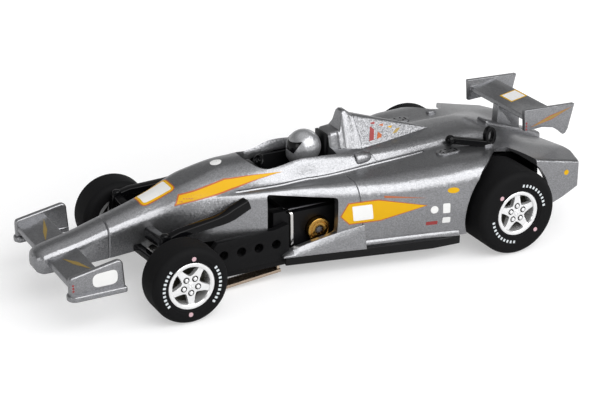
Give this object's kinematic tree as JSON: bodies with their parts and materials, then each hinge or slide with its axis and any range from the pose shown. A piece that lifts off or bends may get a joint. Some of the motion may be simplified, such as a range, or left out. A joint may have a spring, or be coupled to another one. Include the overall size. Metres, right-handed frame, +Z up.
{
  "type": "slot car toy, open wheel racing car",
  "caption": "Toy open-wheel racing car for a slotted electric track: silver body with wings, black chassis with motor, pickup shoes, axles and crown gear drive.",
  "frame": {"origin": "on the floor plane that the tyres stand on, at the middle of the car's length and width", "axes": "+X forward to the nose, +Y to the car's left, +Z up"},
  "size_m": [0.0732, 0.0298, 0.0181],
  "materials": {
    "silver_body": "metallic silver gloss moulding",
    "black_tub": "matte black moulding",
    "silver_helmet": "silver gloss with a black visor",
    "black_chassis": "matte black moulding",
    "black_arms": "gloss black moulding",
    "motor_steel": "plain steel can",
    "magnet_dark": "dark sintered magnet",
    "axle_steel": "bright drawn steel",
    "gear_plastic": "ivory acetal",
    "gear_brass": "machined brass",
    "brush_brass": "turned brass",
    "strip_steel": "bright spring strip",
    "shoe_copper": "copper alloy strip with fine ribs",
    "chrome_wheel": "bright chrome plating",
    "tyre_rubber": "matte black rubber"
  },
  "bodies": {
    "car": {"body_shell": "silver_body", "nose_cone": "silver_body", "rear_wing": "silver_body", "cockpit_tray": "black_tub", "steering_wheel": "black_tub", "driver_helmet": "silver_helmet", "front_suspension_left": "black_arms", "front_suspension_right": "black_arms", "chassis": "black_chassis", "floor_pan": "black_chassis", "motor": "motor_steel", "brush_barrel_left": "brush_brass", "brush_barrel_right": "brush_brass", "contact_strip_left": "strip_steel", "contact_strip_right": "strip_steel", "pickup_shoe_left": "shoe_copper", "pickup_shoe_right": "shoe_copper", "traction_magnets": "magnet_dark", "exhaust_pipe": "black_arms"},
    "front_wheelset": {"front_axle": "axle_steel", "front_wheel_left": "chrome_wheel", "front_wheel_right": "chrome_wheel", "front_tyre_left": "tyre_rubber", "front_tyre_right": "tyre_rubber"},
    "rear_wheelset": {"rear_axle": "axle_steel", "crown_gear": "gear_plastic", "rear_wheel_left": "chrome_wheel", "rear_wheel_right": "chrome_wheel", "rear_tyre_left": "tyre_rubber", "rear_tyre_right": "tyre_rubber"},
    "motor_shaft": {"pinion_shaft": "gear_brass"}
  },
  "joints": [
    {"name": "front_axle_spin", "type": "hinge", "parent": "car", "child": "front_wheelset", "pos_m": [0.02155, 0, 0.00485], "axis": [0, 1, 0], "continuous": true},
    {"name": "rear_axle_spin", "type": "hinge", "parent": "car", "child": "rear_wheelset", "pos_m": [-0.02305, 0, 0.0056], "axis": [0, 1, 0], "continuous": true},
    {"name": "motor_shaft_spin", "type": "hinge", "parent": "car", "child": "motor_shaft", "pos_m": [-0.02305, 0, 0.0056], "axis": [1, 0, 0], "continuous": true}
  ],
  "couplings": [
    {"joint": "motor_shaft_spin", "follows": "rear_axle_spin", "ratio": 3.1429}
  ]
}
